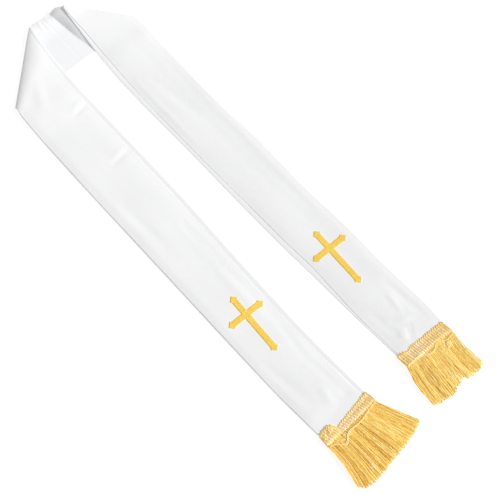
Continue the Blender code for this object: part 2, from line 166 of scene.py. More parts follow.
# Height of the front above its flat place, where the seam allowances fill both edges,
# at four places across the panel. RELIEF_ACROSS has these and the two edges.
LEFT_RELIEF = (
    Relief(-0.37, 0.0, 0.0, 0.0, 0.0),
    Relief(-0.345, 0.0001, 0.0, 0.0001, 0.0003),
    Relief(-0.32, 0.0005, 0.0003, 0.0007, 0.001),
    Relief(-0.22, 0.0006, 0.0005, 0.0009, 0.0013),
    Relief(-0.08, 0.0007, 0.0006, 0.0009, 0.0013),
    Relief(0.08, 0.0007, 0.0005, 0.0011, 0.0015),
    Relief(0.24, 0.0007, 0.0006, 0.0009, 0.0016),
    Relief(0.38, 0.0007, 0.0006, 0.0011, 0.0014),
    Relief(0.5, 0.0006, 0.0005, 0.0009, 0.0012),
    Relief(0.69, 0.0004, 0.0003, 0.0003, 0.0004),
)
RIGHT_RELIEF = (
    Relief(-0.37, 0.0, 0.0, 0.0, 0.0),
    Relief(-0.345, 0.0002, 0.0002, 0.0001, 0.0003),
    Relief(-0.32, 0.0006, 0.0005, 0.0003, 0.0008),
    Relief(-0.22, 0.0008, 0.0006, 0.0004, 0.001),
    Relief(-0.08, 0.0008, 0.0006, 0.0004, 0.001),
    Relief(0.08, 0.0009, 0.0007, 0.0004, 0.0011),
    Relief(0.24, 0.0009, 0.0007, 0.0003, 0.0012),
    Relief(0.38, 0.0008, 0.0006, 0.0004, 0.0011),
    Relief(0.5, 0.0007, 0.0005, 0.0004, 0.0009),
    Relief(0.69, 0.0008, 0.0005, 0.0003, 0.0004),
)
RELIEF_ACROSS = (0.0, 0.13, 0.36, 0.59, 0.86, 1.0)
RELIEF_OUTER = 0.4  # share of the outer height left at the outer edge
RELIEF_SMOOTH = 0.6  # 0 joins the heights by straight lines, 1 by soft steps
RELIEF_LEAST = -0.0001

# Creases as soft ridges, or troughs where the height is below zero.
LEFT_CREASES = (
    Crease(-0.034, 0.466, -0.072, 0.462, 0.005, -0.0009),
    Crease(-0.034, 0.48, -0.066, 0.478, 0.006, 0.0006),
    Crease(-0.035, 0.327, -0.08, 0.324, 0.006, -0.0008),
    Crease(-0.038, 0.34, -0.075, 0.337, 0.007, 0.0005),
    Crease(-0.062, 0.13, -0.058, 0.02, 0.007, -0.0008),
    Crease(-0.06, 0.02, -0.056, -0.13, 0.0075, -0.0006),
    Crease(-0.056, -0.13, -0.068, -0.23, 0.008, -0.0006),
    Crease(-0.068, -0.23, -0.058, -0.33, 0.008, -0.0006),
    Crease(-0.076, 0.01, -0.074, -0.12, 0.008, 0.0004),
    Crease(-0.09, -0.33, -0.086, -0.29, 0.009, 0.0009),
    Crease(-0.052, -0.338, -0.066, -0.325, 0.006, -0.0007),
    Crease(-0.128, 0.24, -0.12, 0.12, 0.01, -0.0006),
    Crease(-0.11, 0.52, -0.08, 0.58, 0.012, 0.0008),
    Crease(-0.14, -0.18, -0.12, -0.3, 0.01, -0.0007),
    Crease(-0.04, -0.25, -0.044, -0.34, 0.006, 0.0004),
)
RIGHT_CREASES = (
    Crease(0.16, 0.505, 0.148, 0.297, 0.01, -0.0003),
    Crease(0.148, 0.297, 0.146, 0.112, 0.01, -0.0004),
    Crease(0.146, 0.112, 0.15, -0.013, 0.009, -0.0004),
    Crease(0.168, 0.44, 0.166, 0.2, 0.006, 0.0003),
    Crease(0.075, 0.44, 0.074, 0.25, 0.006, 0.0006),
    Crease(0.105, 0.42, 0.118, 0.3, 0.01, -0.0006),
    Crease(0.098, -0.292, 0.122, -0.318, 0.006, -0.0012),
    Crease(0.122, -0.318, 0.104, -0.346, 0.006, -0.0012),
    Crease(0.112, -0.296, 0.138, -0.312, 0.0055, 0.001),
    Crease(0.09, -0.318, 0.104, -0.334, 0.0055, 0.0011),
    Crease(0.084, -0.26, 0.094, -0.33, 0.007, -0.001),
    Crease(0.15, -0.23, 0.16, -0.33, 0.008, -0.0009),
    Crease(0.136, -0.25, 0.132, -0.29, 0.006, 0.0008),
)
# Puckers beside the centre-back seam, on the neck band's lining.
BAND_CREASES = (
    Crease(0.0205, 0.694, 0.0215, 0.668, 0.003, -0.0004),
    Crease(0.029, 0.694, 0.0287, 0.672, 0.0026, -0.0002),
    Crease(0.015, 0.692, 0.013, 0.664, 0.003, -0.0005),
    Crease(0.009, 0.69, 0.006, 0.668, 0.003, 0.0004),
    Crease(0.035, 0.69, 0.034, 0.672, 0.003, -0.0004),
)
# Long, low swell of cloth that has been handled: radians a metre, phase and height.
WAVES = (
    Wave(31.0, 9.0, 0.4, 0.00022),
    Wave(-14.0, 26.0, 1.9, 0.0002),
    Wave(52.0, -17.0, 3.1, 0.00012),
    Wave(8.0, 47.0, 5.0, 0.0001),
)

# Where the neck band climbs from the table into the loose right-hand fold.
BAND_CLIMB = (
    Climb(0.553, 0.0545, 0.059, 0.0005),
    Climb(0.575, 0.055, 0.064, 0.0024),
    Climb(0.6, 0.05, 0.064, 0.0048),
    Climb(0.645, 0.045, 0.0655, 0.0093),
    Climb(0.6835, 0.0405, 0.069, 0.0104),
)
CLIMB_STEEP = 1.4  # above 1, it is steepest where it starts
CLIMB_TURN_LEAST = 0.001

# Each fold runs from its corner to its apex, the right one standing open at the apex.
LEFT = Half("left", LEFT_INNER, LEFT_OUTER, LEFT_RELIEF, LEFT_CREASES,
            corner=(-0.151, 0.5555), apex=(-0.0105, 0.6885),
            corner_radius=0.0022, apex_radius=0.0034, corner_roll=0.019, apex_roll=0.046,
            corner_dome=0.008, apex_dome=0.026, dome_height=0.0009, soft_share=0.8,
            edge_share=0.1, front_pressed=0.85, strip_pressed=0.15, puff=0.0002,
            cross=(-0.0945, -0.094))
RIGHT = Half("right", RIGHT_INNER, RIGHT_OUTER, RIGHT_RELIEF, RIGHT_CREASES,
             corner=(0.1735, 0.5595), apex=(0.068, 0.6835),
             corner_radius=0.002, apex_radius=0.0066, corner_roll=0.004, apex_roll=0.006,
             corner_dome=0.006, apex_dome=0.01, dome_height=0.0003, soft_share=0.15,
             edge_share=0.4, front_pressed=0.45, strip_pressed=0.35, puff=0.0006,
             cross=(0.1185, -0.1035))

FOLD_LEAN = (RIGHT.corner[0] - RIGHT.apex[0]) / (RIGHT.apex[1] - RIGHT.corner[1])

lining_low, lining_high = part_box("left_lining")
SHIFT = np.array((lining_high.x - LINING_LEFT, lining_low.y - HEM_Y, 0.0))


def smoothstep(value):
    value = np.clip(value, 0.0, 1.0)
    return value * value * (3 - 2 * value)


def between(low, high, share):
    return low + (high - low) * share


def hermite(keys, values, at):
    """Smooth curve through keys and values; the last axis of values goes with keys."""
    keys = np.asarray(keys, float)
    values = np.asarray(values, float)
    at = np.clip(at, keys[0], keys[-1])
    k = np.clip(np.searchsorted(keys, at, side="right") - 1, 0, len(keys) - 2)
    span = keys[k + 1] - keys[k]
    share = (at - keys[k]) / span
    low = np.maximum(np.arange(len(keys)) - 1, 0)
    high = np.minimum(np.arange(len(keys)) + 1, len(keys) - 1)
    slopes = (values[..., high] - values[..., low]) / (keys[high] - keys[low])
    square, cube = share * share, share ** 3
    return ((2 * cube - 3 * square + 1) * values[..., k]
            + (cube - 2 * square + share) * span * slopes[..., k]
            + (3 * square - 2 * cube) * values[..., k + 1]
            + (cube - square) * span * slopes[..., k + 1])


def from_rows(rows, name, at):
    return hermite([row[0] for row in rows], [getattr(row, name) for row in rows], at)


def rounding(distance, radius):
    """0 at an edge, rising on a quarter circle to 1 at the radius."""
    return np.sqrt(np.maximum(1 - (1 - np.clip(distance / radius, 0, 1)) ** 2, 0))


def crease_height(creases, x, y):
    total = np.zeros_like(x)
    for crease in creases:
        run = np.array((crease.x1 - crease.x0, crease.y1 - crease.y0))
        along = ((x - crease.x0) * run[0] + (y - crease.y0) * run[1]) / (run @ run)
        along = np.clip(along, 0, 1)
        off = np.hypot(x - crease.x0 - along * run[0], y - crease.y0 - along * run[1])
        fade = CREASE_ENDS + (1 - CREASE_ENDS) * np.sin(np.pi * along)
        total += crease.height * np.exp(-(off / crease.width) ** 2) * fade
    return total


def swell(x, y):
    return sum(wave.height * np.sin(wave.x * x + wave.y * y + wave.phase) for wave in WAVES)


def neck_rise(x, y):
    across = smoothstep((x - LEFT.apex[0]) / (RIGHT.apex[0] - LEFT.apex[0]))
    rise = between(NECK_RISE_LEFT, NECK_RISE_RIGHT, across)
    return rise * smoothstep((y - BAND_TOP_Y + NECK_RISE_WIDTH) / NECK_RISE_WIDTH)


def band_climb(x, y):
    """Steep where the band leaves the table, easier towards the panel's edge."""
    start, end, height = (from_rows(BAND_CLIMB, name, y) for name in ("start", "end", "height"))
    share = np.clip((x - start) / (end - start), 0, 1)
    fold_x = RIGHT.apex[0] + (RIGHT.apex[1] - y) * FOLD_LEAN
    under = smoothstep((x - end) / np.maximum(fold_x - end, CLIMB_TURN_LEAST))
    return height * (1 - (1 - share) ** CLIMB_STEEP) * (1 - under)


def section_rows():
    """Kind of each row (0 panel, 1 fold, 2 band) and its share, hem to neck seam."""
    straight = np.linspace(HEM_Y - FAN_START_Y, 0, STRAIGHT_ROWS, endpoint=False)
    fan = 1 - (1 - np.linspace(0, 1, FAN_ROWS)) ** FAN_CROWDING
    arc = np.linspace(0, 1, ARC_ROWS + 2)[1:-1]
    band = np.linspace(0, 1, BAND_ROWS)
    seam = 2 - (1 - np.linspace(0, 1, SEAM_ROWS + 1)[1:]) ** SEAM_CROWDING
    kinds = np.repeat((0, 0, 1, 2, 2), (len(straight), len(fan), len(arc), len(band), len(seam)))
    return kinds, np.concatenate((straight, fan, arc, band, seam))


def section_y(share, end_y):
    """Where one end of a panel's section lies: below the fan, or on its way to end_y."""
    return FAN_START_Y + np.where(share > 0, share * (end_y - FAN_START_Y), share)


def base_rows(half, kinds, shares, across):
    """Middle of the two layers, and which way the front faces, for every row and column."""
    apex, corner = np.array(half.apex), np.array(half.corner)
    shape = (len(kinds), across.shape[1])
    spot, facing = np.zeros((*shape, 3)), np.zeros((*shape, 3))
    radius = between(half.apex_radius, half.corner_radius, across)

    at = kinds == 0
    share, a = shares[at][:, None], across[at]
    inner_y, outer_y = section_y(share, apex[1]), section_y(share, corner[1])
    inner_x, outer_x = from_rows(half.inner, "lining", inner_y), from_rows(half.outer, "x", outer_y)
    x, y = between(inner_x, outer_x, a), between(inner_y, outer_y, a)
    climb = smoothstep((y - FAN_START_Y + RAMP_LENGTH) / RAMP_LENGTH)
    lift = smoothstep(share) * (2 * radius[at] - DOUBLE)
    spot[at] = np.stack((x, y, MID + DOUBLE * climb + lift), axis=2)
    facing[at] = (0, 0, 1)

    at = kinds == 1
    line = (apex - corner) / np.linalg.norm(apex - corner)
    outward = np.array((abs(line[1]) * np.sign(corner[0]), abs(line[0])))
    angle = np.pi * (0.5 - shares[at])[:, None] * np.ones(shape[1])
    fold = between(apex, corner, across[at][:, :, None])
    sideways, upwards = outward * np.cos(angle)[:, :, None], np.sin(angle)[:, :, None]
    facing[at] = np.concatenate((sideways, upwards), axis=2)
    spot[at, :, :2] = fold
    spot[at, :, 2] = MID + radius[at]
    spot[at] += facing[at] * radius[at][:, :, None]

    at = kinds == 2
    share, a = shares[at][:, None], across[at]
    side = np.sign(corner[0])
    upright_x = apex[0] - side * FAN_CREEP
    turn = np.minimum(share, 1)
    reach = np.maximum(share - 1, 0) * (NECK_SEAM_X - upright_x)
    low_x = between(corner[0], upright_x, turn) + reach
    top_x = between(apex[0], upright_x, turn) + reach
    low_y = between(corner[1], BAND_BOTTOM_Y, smoothstep(share))
    top_y = between(apex[1], BAND_TOP_Y, smoothstep(share / BAND_TOP_TURN))
    hump = np.exp(-((top_x - BAND_HUMP_X) / BAND_HUMP_WIDTH) ** 2)
    top_y = top_y + BAND_HUMP * (hump * smoothstep(share / BAND_HUMP_TURN))
    x, y = between(top_x, low_x, a), between(top_y, low_y, a)
    spot[at] = np.stack((x, y, np.full_like(x, MID)), axis=2)
    facing[at] = (0, 0, -1)
    return spot, facing, radius, outward


def layer_points(half, kinds, shares, across, offset):
    """Points of a layer that lies offset from the middle, its fold rolled soft on top."""
    spot, facing, radius, outward = base_rows(half, kinds, shares, across)
    x, y, z = np.moveaxis(spot + facing * offset[:, :, None], 2, 0)
    from_apex = np.stack((x, y), axis=2) - np.array(half.apex)
    full = radius + offset
    inward = full - from_apex @ outward

    # above, the fold rounds over at its edge, softly or crisply, and domes behind it
    roll = between(half.apex_roll, half.corner_roll, across)
    soft = 1 - (1 - np.clip(inward / roll, 0, 1)) ** 2
    crisp = rounding(inward, np.maximum(CRISP_SHARE * roll, CRISP_LEAST) + offset)
    factor = between(crisp, soft, half.soft_share)
    width = between(half.apex_dome, half.corner_dome, across)
    dome = half.dome_height / half.apex_dome * inward * np.exp(0.5 - (inward / width) ** 2 / 2)
    arc = (kinds == 1)[:, None]
    level = np.where(arc, MID + radius + full, z)
    widest = MID + (1 - FOLD_SINK) * radius
    rolled = between(widest, level, factor) + dome

    # below, it is squashed flatter
    low = MID - offset
    sunk = low + (z - low) * (widest - low) / full
    upper_half = ((kinds == 0) | ((kinds == 1) & (shares <= 0.5)))[:, None]
    z = np.where(upper_half, rolled, np.where(arc, sunk, z))

    tipped_y = y
    if half is RIGHT:
        z = z + np.where((kinds == 2)[:, None], band_climb(x, y), 0)
        above = np.select([kinds == 0, kinds == 1], [1.0, 1 - shares], 0.0)
        from_tip = np.linalg.norm(from_apex, axis=2)
        tipped_y = y - TIP_BACK * smoothstep(above)[:, None] * np.exp(-(from_tip / TIP_REACH) ** 2)
    return np.stack((x, tipped_y, z + neck_rise(x, y)), axis=2)


def columns(width):
    """Shares across a layer, close together at both edges where it rounds over."""
    edge = np.array(EDGE_STEPS) / width
    inner = np.linspace(edge[-1], 1 - edge[-1], INNER_COLUMNS)
    return np.concatenate((edge[:-1], inner, 1 - edge[-2::-1]))


def front_edge(half, kinds, shares):
    """Where the front's inner edge lies, as a share of the full width, in each row."""
    inner_y = np.where(kinds == 0, section_y(shares, half.apex[1]), half.apex[1])
    lining_x, front_x = (from_rows(half.inner, name, inner_y) for name in ("lining", "front"))
    return (front_x - lining_x) / (half.corner[0] - lining_x)


def above_hem(y, flat, ease):
    """0 where a panel is pressed flat for the fringe, 1 above."""
    return smoothstep((y - HEM_Y - flat) / ease)


def front_height(half, across, x, y):
    """Height of the front above its flat place, for a share of the front's own width."""
    names = Relief._fields[1:]
    values = np.stack([from_rows(half.relief, name, y) for name in names], axis=-1)
    inner_edge, outer_edge = half.edge_share * values[..., :1], RELIEF_OUTER * values[..., 3:]
    values = np.concatenate((inner_edge, values, outer_edge), axis=-1)
    keys = np.array(RELIEF_ACROSS)
    k = np.clip(np.searchsorted(keys, across, side="right") - 1, 0, len(keys) - 2)
    share = (across - keys[k]) / (keys[k + 1] - keys[k])
    share = between(share, smoothstep(share), RELIEF_SMOOTH)
    low = np.take_along_axis(values, k[..., None], axis=-1)[..., 0]
    high = np.take_along_axis(values, k[..., None] + 1, axis=-1)[..., 0]
    uneven = crease_height(half.creases, x, y) + swell(x, y)
    height = between(low, high, share) + above_hem(y, HEM_FLAT, HEM_EASE) * uneven
    return np.maximum(height, RELIEF_LEAST)


def flattened(inside, y):
    """Share of its height that is left to a layer, by distance from the panel's inner edge."""
    near = np.exp(-(inside / FLATTENED_REACH) ** 2)
    return 1 - FLATTENED * above_hem(y, HEM_FLAT, HEM_EASE) * near


def make_mesh(name, points, faces, vectors=None):
    """Mesh of points in the layout frame, smooth, with named vectors on its points."""
    mesh = bpy.data.meshes.new(name)
    mesh.from_pydata((np.asarray(points).reshape(-1, 3) + SHIFT).tolist(), [], faces)
    for label, values in (vectors or {}).items():
        made = mesh.attributes.new(label, "FLOAT_VECTOR", "POINT")
        made.data.foreach_set("vector", np.asarray(values, np.float32).ravel())
    mesh.shade_smooth()
    mesh.update()
    return mesh


def add_object(name, data):
    made = bpy.data.objects.new(name, data)
    bpy.context.scene.collection.objects.link(made)
    return made


def add_piece(name, mesh, material, node):
    piece = add_object(name, mesh)
    mesh.materials.append(material)
    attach(piece, "root")
    if node:
        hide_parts(node)
    return piece


def shell_faces(rows, cols, flip):
    """Faces of a closed shell of two grids: all of one grid's points, then the other's."""
    index = np.arange(rows * cols).reshape(rows, cols)
    under = index + rows * cols
    over_face = index[:-1, :-1], index[:-1, 1:], index[1:, 1:], index[1:, :-1]
    under_face = under[:-1, :-1], under[1:, :-1], under[1:, 1:], under[:-1, 1:]
    quads = [np.stack(corners, axis=2).reshape(-1, 4) for corners in (over_face, under_face)]
    for a, b in ((index[:, 0], under[:, 0]), (under[:, -1], index[:, -1]),
                 (under[0], index[0]), (index[-1], under[-1])):
        quads.append(np.stack((a[:-1], a[1:], b[1:], b[:-1]), axis=1))
    faces = np.concatenate(quads)
    return (faces[:, ::-1] if flip else faces).tolist()


class Value:
    """One socket of a material, so that shader maths reads as arithmetic."""

    def __init__(self, tree, socket=None):
        self.tree = tree
        self.socket = socket

    def node(self, kind, settings, inputs, output=0):
        """Any other node: its type and settings, then its values or links."""
        made = self.tree.nodes.new(kind)
        for name, setting in settings.items():
            setattr(made, name, setting)
        for name, given in inputs.items():
            if isinstance(given, Value):
                self.tree.links.new(given.socket, made.inputs[name])
            else:
                made.inputs[name].default_value = given
        return Value(self.tree, made.outputs[output])

    def maths(self, operation, *given):
        return self.node("ShaderNodeMath", {"operation": operation}, dict(enumerate(given)))

    def __add__(self, other):
        return self.maths("ADD", self, other)

    def __mul__(self, other):
        return self.maths("MULTIPLY", self, other)

    __radd__ = __add__
    __rmul__ = __mul__

    def sine(self):
        return self.maths("SINE", self)

    def ramp(self, low, high):
        """0 below low, 1 above high, smooth between."""
        return self.node("ShaderNodeMapRange", {"interpolation_type": "SMOOTHSTEP"},
                         {"Value": self, "From Min": low, "From Max": high})

    def mix(self, low, high):
        """The colour low where self is 0 and high where it is 1."""
        return self.node("ShaderNodeMix", {"data_type": "RGBA"}, {0: self, 6: low, 7: high}, 2)

    def noise(self, scale, detail=2.0):
        return self.node("ShaderNodeTexNoise", {},
                         {"Vector": self, "Scale": scale, "Detail": detail})

    def bump(self, strength, distance):
        """A normal bent as if self were this much relief."""
        return self.node("ShaderNodeBump", {},
                         {"Strength": strength, "Distance": distance, "Height": self})

    def attribute(self, name):
        """A vector that a mesh carries on its points."""
        return self.node("ShaderNodeAttribute", {"attribute_name": name}, {}, "Vector")

    def parts(self):
        """The three numbers of a vector."""
        split = self.node("ShaderNodeSeparateXYZ", {}, {0: self}).socket.node
        return [Value(self.tree, socket) for socket in split.outputs]

    def feed(self, shader, name):
        self.tree.links.new(self.socket, shader.inputs[name])


def new_material(name, **settings):
    """A material, its shader with the settings given, and a Value to build its nodes from."""
    material = bpy.data.materials.new(name)
    material.use_nodes = True
    shader = material.node_tree.nodes["Principled BSDF"]
    for socket, setting in settings.items():
        shader.inputs[socket.replace("_", " ")].default_value = setting
    return material, shader, Value(material.node_tree)


def cloth_material(name, colour, shade, pressed, roughness, sheen):
    """Satin: fine warp floats over a close weft and a soft sheen. At the inner edge the colour turns
    darker, painted shade that dims the lit, rolled-out strip of lining.
    """
    material, shader, start = new_material(name, Roughness=roughness, Sheen_Weight=sheen,
                                           Sheen_Roughness=0.45, Specular_IOR_Level=0.42)
    place = start.attribute("cloth")
    across, along, _ = place.parts()
    soft = start.node("ShaderNodeTexCoord", {}, {}, "Object").noise(16.0, 3.0)
    slub = place.noise(420.0)
    warp = (across * 8400.0).sine()
    weft = (along * 6200.0 + across * 2100.0).sine()
    tone = soft.ramp(0.3, 0.72) * 0.75 + slub.ramp(0.35, 0.65) * 0.25
    # painted shade: 8 to 14 mm in from the inner edge the colour blends to a darker one, which dims
    # the strip of lining where it catches the light
    across.ramp(0.008, 0.014).mix(pressed, tone.mix(shade, colour)).feed(shader, "Base Color")
    (warp * 0.35 + weft * 0.25 + slub * 0.8).bump(0.35, 0.00012).feed(shader, "Normal")
    (slub * 0.14 + (roughness - 0.07)).feed(shader, "Roughness")
    return material


SATIN = cloth_material("satin", colour=(0.87, 0.871, 0.876, 1), shade=(0.85, 0.852, 0.86, 1),
                       pressed=(0.866, 0.867, 0.873, 1), roughness=0.46, sheen=0.2)
LINING = cloth_material("lining_cloth", colour=(0.9, 0.903, 0.916, 1),
                        shade=(0.885, 0.889, 0.904, 1), pressed=(0.845, 0.846, 0.852, 1),
                        roughness=0.55, sheen=0.12)


def layer_piece(name, half, rows, across, faces, left_over, length, material, node):
    """A closed shell of cloth between two faces, each given as an offset from the middle."""
    points = [layer_points(half, *rows, across, (MID + face) * left_over - MID) for face in faces]
    grain = np.stack(np.broadcast_arrays(across * CLOTH_WIDTH, length, 0.0), axis=2)
    mesh = make_mesh(name, points, shell_faces(*across.shape, half.corner[0] < 0),
                     {"cloth": [grain, grain]})
    return add_piece(name, mesh, material, node)


fronts, linings = {}, {}
kinds, shares = rows = section_rows()
on_panel, on_band = (kinds == 0)[:, None], (kinds == 2)[:, None]
ease = np.where(on_panel, 1 - smoothstep(shares)[:, None], 0)
for half in (LEFT, RIGHT):
    # front: from its own inner edge out, rolled round the outer edge
    t = columns(CLOTH_WIDTH)[None, :]
    start_share = front_edge(half, kinds, shares)[:, None]
    across = start_share + (1 - start_share) * t
    inside, outside = (across - start_share) * CLOTH_WIDTH, (1 - across) * CLOTH_WIDTH
    flat = base_rows(half, kinds, shares, across)[0]
    x, y = flat[:, :, 0], flat[:, :, 1]
    raised = front_height(half, np.broadcast_to(t, across.shape), x, y) * ease
    raised = raised * rounding(inside, 0.003) * rounding(outside, 0.004)
    from_seam = np.where(on_band, abs(x - NECK_SEAM_X), 1.0)
    pressing = 1 - half.front_pressed * np.exp(-inside / PRESSED_REACH)
    wall = WALL * rounding(from_seam, 0.0012) * pressing * rounding(inside, 0.0006)
    wrap = np.where(on_band, BAND_WRAP * WRAP, WRAP)
    outer = (SEAM_GAP / 2 + wall + raised + wrap) * rounding(outside, 0.0018) - wrap
    under = (SEAM_GAP / 2 + raised + wrap) * rounding(outside - WRAP, 0.0018) - wrap
    under = np.minimum(under, outer - 0.00005)
    left_over = 1 - ease * (1 - flattened(across * CLOTH_WIDTH, y))
    steps = np.linalg.norm(np.diff(flat.mean(axis=1), axis=0), axis=1)
    length = np.concatenate(([0], np.cumsum(steps)))[:, None]
    fronts[half.name] = layer_piece(f"{half.name}_front_satin", half, rows, across, (outer, under),
                                    left_over, length, SATIN, f"{half.name}_front")

    # lining: flat under the front, puffed where it rolls out past the inner edge
    across = np.broadcast_to(t * (1 - INSET / CLOTH_WIDTH), across.shape)
    inside, outside = across * CLOTH_WIDTH, (1 - across) * CLOTH_WIDTH - INSET
    flat = base_rows(half, kinds, shares, across)[0]
    x, y = flat[:, :, 0], flat[:, :, 1]
    up = np.select([kinds == 0, kinds == 1], [1.0, np.cos(np.pi * shares / 2) ** 2], 0.0)[:, None]
    strip = start_share * CLOTH_WIDTH
    puff = half.puff * np.sin(np.pi * np.clip(inside / strip, 0, 1)) ** PUFF_FULL
    puff = puff * above_hem(y, PUFF_FLAT, PUFF_EASE)
    from_seam = np.where(on_band, abs(x - NECK_SEAM_X), 1.0)
    pressing = 1 - half.strip_pressed * np.exp(-inside / STRIP_REACH)
    edge = rounding(inside, 0.001) * pressing * rounding(outside, 0.0008)
    pucker = np.where(on_band, crease_height(BAND_CREASES, x, y) + BAND_SWELL * swell(x, y), 0)
    middle = -(SEAM_GAP + WALL) / 2
    thin = WALL * (1 - edge)
    dip = np.where(on_band, WALL * SEAM_DIP * np.exp(-(from_seam / SEAM_SOFT) ** 2), 0)
    upper = middle + WALL / 2 + up * (puff * edge - thin)
    lower = middle - WALL / 2 + (1 - up) * (thin - PUFF_BELOW * puff * edge) + (dip - pucker) * edge
    left_over = 1 - ease * (1 - flattened(inside, y))
    lining = layer_piece(f"{half.name}_lining_cloth", half, rows, across, (upper, lower),
                         left_over, length, LINING, f"{half.name}_lining")
    linings[half.name] = lining


# ---- Crosses: satin-stitched, one on each front ------------------------------
# Each cross is machine embroidery in golden yellow thread, worked straight through
# the front before lining. Four arms meet in mitres, each filled with stitches that
# run across it, over a thin padding that lifts it less than a millimetre.
CROSS_TOP = 0.047  # arm lengths from the crossing to each point
CROSS_BOTTOM = 0.093
CROSS_SIDE = 0.043
CROSS_BAR = 0.0064  # half the width of a bar
CROSS_TILT = np.radians(-2.4)
CROSS_PAD = 0.00075  # height of the padding
CROSS_EDGE = 0.0016  # it rounds over in this width
CROSS_GAP = 0.00012  # the stitches stand this far off the satin
CROSS_ROOT = 0.0002  # and are sewn this deep into it
STITCH_PITCH = 0.00055
Arm = namedtuple("Arm", "from_tip half_width")
CROSS_ARM = (
    Arm(0.0, 0.0),
    Arm(0.0086, 0.0088),
    Arm(0.01, 0.0076),
    Arm(0.0125, 0.0067),
    Arm(0.0155, CROSS_BAR),
)
ARM_ROWS = 90
ARM_COLUMNS = 17


def front_top(half, x, y):
    """Height of the front's outer face at places on the straight of a panel."""
    lining_x, front_x = (from_rows(half.inner, name, y) for name in ("lining", "front"))
    across = (x - front_x) / (from_rows(half.outer, "x", y) - front_x)
    height = MID + SEAM_GAP / 2 + WALL + front_height(half, across, x, y)
    return height * flattened(abs(x - lining_x), y)


def thread_material(name, deep, bright, pitch, roughness):
    """Glossy thread laid side by side: each stitch is a fine ridge of its own shade."""
    material, shader, start = new_material(name, Roughness=roughness, Sheen_Weight=0.25)
    along, across, _ = start.attribute("stitch").parts()
    ridge = (along * (2 * np.pi / pitch)).sine() * 0.5 + 0.5
    blotch = start.node("ShaderNodeTexCoord", {}, {}, "Object").noise(140.0)
    tone = ridge * 0.35 + blotch.ramp(0.3, 0.7) * 0.65
    tone.mix(deep, bright).feed(shader, "Base Color")
    (ridge + (across * 900.0).sine() * 0.2).bump(0.5, 0.0002).feed(shader, "Normal")
    return material


EMBROIDERY = thread_material("embroidery_thread", deep=(0.96, 0.6, 0.072, 1),
                             bright=(0.99, 0.695, 0.105, 1), pitch=STITCH_PITCH, roughness=0.45)

from_tips, half_widths = zip(*CROSS_ARM)
for half in (LEFT, RIGHT):
    points, stitch, faces = [], [], []
    for quarter, length in enumerate((CROSS_SIDE, CROSS_TOP, CROSS_SIDE, CROSS_BOTTOM)):
        along = length * (1 - (1 - np.linspace(0, 1, ARM_ROWS)) ** 1.15)
        wide = np.interp(length - along, from_tips, half_widths)
        wide = np.minimum(wide, np.maximum(along, 0.00002))
        aside = np.sin(np.linspace(-np.pi / 2, np.pi / 2, ARM_COLUMNS))
        u = np.broadcast_to(along[:, None], (ARM_ROWS, ARM_COLUMNS))
        v = wide[:, None] * aside
        turn = CROSS_TILT + quarter * np.pi / 2
        x = half.cross[0] + u * np.cos(turn) - v * np.sin(turn)
        y = half.cross[1] + u * np.sin(turn) + v * np.cos(turn)
        corner_off = np.hypot(CROSS_BAR - u, CROSS_BAR - abs(v))
        from_edge = np.where(u < CROSS_BAR, corner_off, wide[:, None] * (1 - abs(aside)))
        pad = CROSS_PAD * rounding(from_edge, CROSS_EDGE)
        ground = front_top(half, x, y)
        first = len(points) * ARM_ROWS * ARM_COLUMNS
        heights = (ground + CROSS_GAP + pad, ground - CROSS_ROOT)
        points += [np.stack((x, y, z), axis=2) for z in heights]
        stitch += [np.stack((u, v, 0 * u), axis=2)] * 2
        faces += (np.array(shell_faces(ARM_ROWS, ARM_COLUMNS, False)) + first).tolist()
    name = f"{half.name}_cross_embroidery"
    mesh = make_mesh(name, points, faces, {"stitch": stitch})
    add_piece(name, mesh, EMBROIDERY, f"{half.name}_cross")


# ---- Fringes: woven heading with twisted strands -----------------------------
# A bought rayon fringe is sewn over each hem. Its heading is a ladder of gold cords in
# pairs on a pale ground, with a looped top edge and a double couching thread that wanders
# along its lower edge. The strands are fine twisted cords that fan out over the floor.
HEADING_THIN = 0.0003  # thickness at the looped edge, and over the strands' roots
HEADING_THICK = 0.0038
HEADING_DEPTH = 0.027  # nominal, to turn the loops' height into a share
HEADING_OVERHANG = 0.0015  # the heading bends down this far past the hem
HEADING_FLOOR = 0.0004  # its lower edge hangs this far above the table
HEADING_COLUMNS = 110
HEADING_ROWS = 26
GROUND_LEAST = 0.0004  # thickness of the ground where it is thinnest
RUNG_RADIUS = 0.00054
RUNG_BESIDE = 1.08  # half the step between the two of a pair, in radii
LOOP_LINE = 0.03  # the loops' middle, as a share down the heading
LOOP_HEIGHT = 0.0021
LOOP_RADIUS = 0.00042
WEFT_DOWN = (0.2, 0.45, 0.7)
WEFT_RADIUS = 0.00025
COUCHING_RADIUS = 0.00072
COUCHING_RISE = 0.0008  # how far cords rise to pass over the strands' roots
KNOT_RADIUS = 0.0008
STRAND_LAYERS = 4
STRANDS = 96  # in each layer
STRAND_POINTS = 22
STRAND_RADIUS = 0.00074
STRAND_SPACING = 0.00098  # height between layers at the roots
STRAND_ROOT = 0.88  # where strands leave the heading, as a share down it
STRAND_STRAY = 0.0035  # spread of their tips, as a share of the fringe's length
STRAND_SHADE = 0.38
LOCKS = 34  # groups of strands that lie together, in each layer
LOCK_STRAY = 0.0055
LOCK_SHADE = 0.09
PARTING_REACH = 0.03  # share of the length over which strands part
DEEP_SHADE = 0.3
DEEP_WIDTH = 0.035

Top = namedtuple("Top", "share y lift pale")
Bend = namedtuple("Bend", "share down")
Tip = namedtuple("Tip", "share x y waist")
Parting = namedtuple("Parting", "share start end half_width")
Knot = namedtuple("Knot", "x y size turns phase")
Fringe = namedtuple("Fringe", "name top_x low_left low_right top couching tips partings knots pairs"
                    " deep bright tone lean stir seed")

